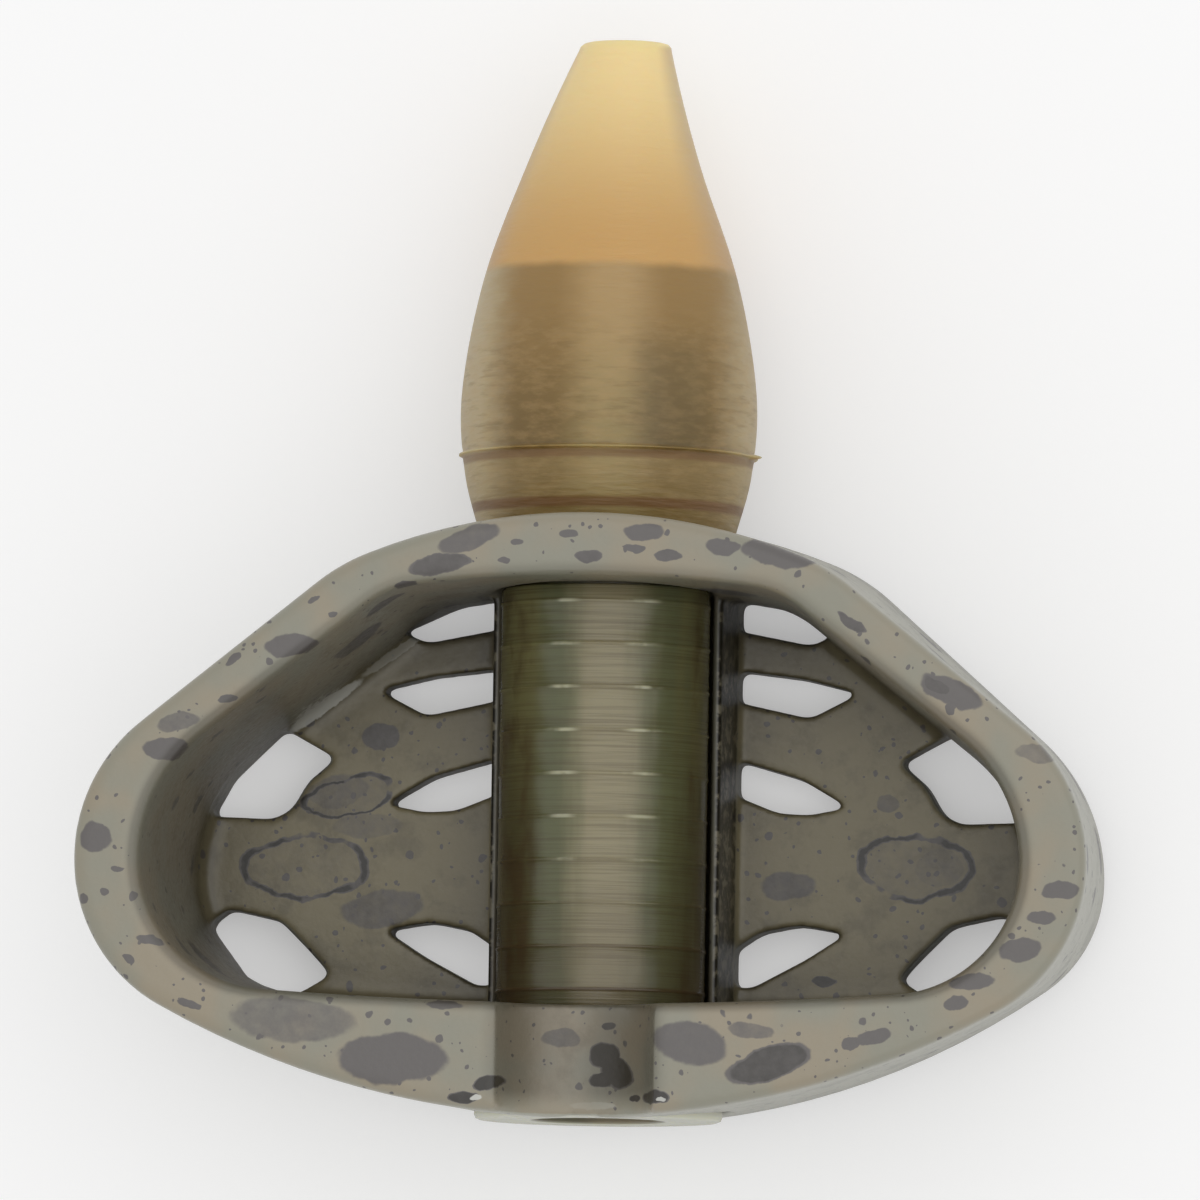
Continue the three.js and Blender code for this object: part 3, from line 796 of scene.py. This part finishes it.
def filled_rubber(paint, place, x, y, ripples):
    """The end over the spigot, which shows through olive-brown, with a painted sheen along the top and paler
    sides painted as reflection and light through the rubber.
    """
    high = paint.ramp(y, *RUBBER_HIGH_Y)
    deep = paint.mix(high, RUBBER_DEEP_LOW, RUBBER_DEEP_HIGH)
    sheen = paint.mix(high, RUBBER_SHEEN_LOW, RUBBER_SHEEN_HIGH)
    cloud = paint.stretch(place, *RUBBER_CLOUD_GRAIN)
    off_middle = paint.wobble(
        paint.apart(x, RUBBER_SHEEN_X), RUBBER_SHEEN_WOBBLE, cloud, 1, detail=4, roughness=0.6,
    )
    # Painted sheen along the middle, and paler sides as painted reflection and light through the rubber
    colour = paint.mix(paint.ramp(off_middle, *RUBBER_SHEEN), deep, sheen)
    colour = paint.mix(paint.ramp(off_middle, *RUBBER_PALE_SIDE), colour, RUBBER_SIDE_REFLECTION)

    streaks = paint.all_of(
        paint.ramp(ripples, 0.5, 0.7), paint.ramp(y, *RUBBER_STREAKS_Y), RUBBER_STREAKS_SHARE,
    )
    colour = paint.mix(streaks, colour, RUBBER_DEEP_LOW)
    grain = paint.patches(paint.stretch(place, *RUBBER_MOTTLE_GRAIN), 1, 0.4, 0.7, detail=4, roughness=0.6)
    mottle = paint.all_of(grain, paint.ramp(y, *RUBBER_MOTTLE_Y), RUBBER_MOTTLE_SHARE)
    colour = paint.mix(mottle, colour, RUBBER_SHEEN_HIGH)
    right_band = paint.all_of(
        paint.ramp(x, *RUBBER_BAND_X), paint.ramp(x, *RUBBER_BAND_END_X),
        paint.ramp(y, *RUBBER_BAND_Y), paint.ramp(y, *RUBBER_BAND_END_Y), RUBBER_BAND_SHARE,
    )
    colour = paint.mix(right_band, colour, RUBBER_SHADED)
    # Painted light: the rubber's foot made lighter against the shade the dish casts there
    foot_light = paint.all_of(paint.ramp(y, *RUBBER_FOOT_Y), RUBBER_FOOT_SHARE)
    colour = paint.mix(foot_light, colour, RUBBER_FOOT_LIGHT)
    return paint.mix(rubber_shadow_lines(paint, y), colour, RUBBER_LINE_SHADOW)


def rubber_material():
    """Soft clouded rubber with fine ripples across it, which changes colour where the spigot ends."""
    paint = Paint("amber_rubber")
    place = paint.place()
    x, y, _ = paint.split(place)
    ripples = paint.noise(paint.stretch(place, *RUBBER_RIPPLES_GRAIN), 1, detail=3)
    shift = paint.math("MULTIPLY", paint.noise(place, 0.5), RUBBER_BREAK_WOBBLE)
    wavy_y = paint.math("ADD", y, shift)
    filled = paint.ramp(wavy_y, RUBBER_BREAK_Y + RUBBER_BREAK_WIDTH, RUBBER_BREAK_Y)
    colour = paint.mix(filled, clear_rubber(paint, y), filled_rubber(paint, place, x, y, ripples))
    shader = paint.add("ShaderNodeBsdfPrincipled", {
        "Base Color": colour,
        "Roughness": 0.38,
        "Normal": paint.bump(ripples, 0.055),
        "Subsurface Weight": 0.6,
        "Subsurface Scale": 1.5 * MM,
        "Subsurface Radius": (1, 0.7, 0.35),
    })
    return paint.finish(shader)


def make_dish():
    """The casting, with its faceted edges rounded off as a cast and coated piece has them."""
    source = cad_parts["feeder_body"]
    work = bpy.data.objects.new("dish_work", source.data.copy())
    bpy.context.scene.collection.objects.link(work)
    weld = work.modifiers.new("weld", "WELD")
    weld.merge_threshold = WELD_DISTANCE * MM
    remesh = work.modifiers.new("remesh", "REMESH")
    remesh.mode = "VOXEL"
    remesh.voxel_size = DISH_VOXEL * MM
    smooth = work.modifiers.new("smooth", "SMOOTH")
    smooth.factor = SMOOTHING_FACTOR
    smooth.iterations = DISH_SMOOTHING
    mesh = bpy.data.meshes.new_from_object(work.evaluated_get(bpy.context.evaluated_depsgraph_get()))
    bpy.data.objects.remove(work)
    mesh.shade_smooth()
    dish = make_object("dish", mesh, "feeder", coat_material())
    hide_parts("feeder_body")


def curve_through(points):
    """A smooth curve through the points, as a list with OUTLINE_STEPS steps between each two."""
    known = [np.array(p, float) for p in points]
    known = [2 * known[0] - known[1], *known, 2 * known[-1] - known[-2]]
    found = []
    for before, start, end, after in zip(known, known[1:], known[2:], known[3:]):
        for t in np.arange(OUTLINE_STEPS) / OUTLINE_STEPS:
            leaving = (end - before) / 2
            arriving = (after - start) / 2
            found.append(
                (2 * t ** 3 - 3 * t ** 2 + 1) * start + (t ** 3 - 2 * t ** 2 + t) * leaving
                + (3 * t ** 2 - 2 * t ** 3) * end + (t ** 3 - t ** 2) * arriving
            )
    return [*found, known[-2]]


def turned(name, loop):
    """A mesh turned about the stem's line from a closed loop of (radius, y)."""
    sides = TURNED_SIDES
    angles = np.arange(sides) * 2 * math.pi / sides
    rings = [
        np.stack([radius * np.sin(angles), np.full(sides, y), STEM_HEIGHT + radius * np.cos(angles)], 1)
        for radius, y in loop
    ]
    count = len(loop)
    faces = []
    for ring in range(count):
        here = ring * sides
        there = (ring + 1) % count * sides
        for side in range(sides):
            beyond = (side + 1) % sides
            faces.append((here + side, there + side, there + beyond, here + beyond))
    mesh = bpy.data.meshes.new(name)
    mesh.from_pydata(np.concatenate(rings) * MM, [], faces)
    mesh.shade_smooth()
    mesh.set_sharp_from_angle(angle=SHARP_ANGLE)
    return mesh


def make_stem():
    rings = []
    for i in range(RING_COUNT):
        y = RING_FIRST_Y + i * RING_PITCH
        for away, up in RING_PROFILE:
            rings.append((STEM_RADIUS + up * RING_HEIGHT, y + away * RING_WIDTH / 2))
    barbs = []
    for i in range(BARB_COUNT):
        y = SPIGOT_END_Y - (BARB_COUNT - i) * BARB_PITCH
        barbs += [(SPIGOT_RADIUS, y), (SPIGOT_RADIUS + BARB_HEIGHT, y + BARB_STEP)]
        barbs += [(SPIGOT_RADIUS, y + BARB_PITCH / 2)]
    flange_inner_y = FLANGE_FACE_Y + FLANGE_THICKNESS
    loop = [
        (SOCKET_RADIUS, FLANGE_FACE_Y + SOCKET_EDGE),
        (SOCKET_RADIUS + SOCKET_EDGE, FLANGE_FACE_Y),
        (FLANGE_RADIUS - FLANGE_EDGE, FLANGE_FACE_Y),
        (FLANGE_RADIUS - FLANGE_CORNER, FLANGE_FACE_Y + FLANGE_CORNER),
        (FLANGE_RADIUS, FLANGE_FACE_Y + FLANGE_EDGE),
        (FLANGE_RADIUS, flange_inner_y - FLANGE_BACK_EDGE),
        (FLANGE_RADIUS - FLANGE_BACK_EDGE, flange_inner_y),
        (STEM_RADIUS, flange_inner_y),
        *rings,
        (STEM_RADIUS, STEM_SHOULDER_Y - SHOULDER_EDGE),
        (STEM_RADIUS - SHOULDER_EDGE, STEM_SHOULDER_Y),
        (SPIGOT_RADIUS, STEM_SHOULDER_Y),
        *barbs,
        (SPIGOT_RADIUS, SPIGOT_END_Y - SPIGOT_EDGE),
        (SPIGOT_RADIUS - SPIGOT_EDGE, SPIGOT_END_Y),
        (STEM_BORE_RADIUS, SPIGOT_END_Y),
        (STEM_BORE_RADIUS, FLANGE_FACE_Y + SOCKET_DEPTH),
        (SOCKET_RADIUS, FLANGE_FACE_Y + SOCKET_DEPTH),
    ]
    stem = make_object("stem", turned("stem", loop), "stem", stem_material())
    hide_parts("stem_tube")


def make_rubber():
    outline = curve_through(RUBBER_OUTLINE)
    before = [p for p in outline if p[1] < PARTING_AT - PARTING_WIDTH]
    after = [p for p in outline if p[1] > PARTING_AT + PARTING_WIDTH]
    radius = (before[-1][0] + after[0][0]) / 2
    ridge = [
        (radius + up * PARTING_HEIGHT, PARTING_AT + away * PARTING_WIDTH)
        for away, up in PARTING_PROFILE
    ]
    outside = [(r, RUBBER_BASE_Y + y) for r, y in [*before, *ridge, *after]]
    tip_radius, tip_y = outside[-1]
    tip = [
        (tip_radius - RUBBER_TIP_EDGE * (1 - math.cos(a)), tip_y + RUBBER_TIP_EDGE * math.sin(a))
        for a in np.radians(RUBBER_TIP_TURNS)
    ]
    end_y = RUBBER_BASE_Y + RUBBER_LENGTH
    loop = [
        *outside,
        *tip,
        (RUBBER_HOLE_RADIUS + RUBBER_HOLE_EDGE, end_y),
        (RUBBER_HOLE_RADIUS, end_y - RUBBER_HOLE_EDGE),
        (RUBBER_HOLE_RADIUS, RUBBER_HOLLOW_END_Y),
        (RUBBER_HOLLOW_RADIUS, RUBBER_HOLLOW_END_Y),
        (RUBBER_HOLLOW_RADIUS, RUBBER_BASE_Y),
    ]
    mesh = turned("rubber", loop)
    for vertex in mesh.vertices:
        x, y, z = vertex.co / MM
        on_parting = abs(y - RUBBER_BASE_Y - PARTING_AT) < PARTING_WIDTH
        if x > radius and on_parting and abs(z - NUB_Z) < NUB_HALF:
            vertex.co.x += NUB_REACH * MM
        if y > RUBBER_LEAN_FROM_Y:
            share = (y - RUBBER_LEAN_FROM_Y) / (end_y - RUBBER_LEAN_FROM_Y)
            vertex.co.x += RUBBER_LEAN * share ** 2 * MM
    rubber = make_object("rubber", mesh, "rubber", rubber_material())
    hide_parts("tail_rubber")


place_camera()
light_scene()
add_key()
make_floor()
make_dish()
make_stem()
make_rubber()
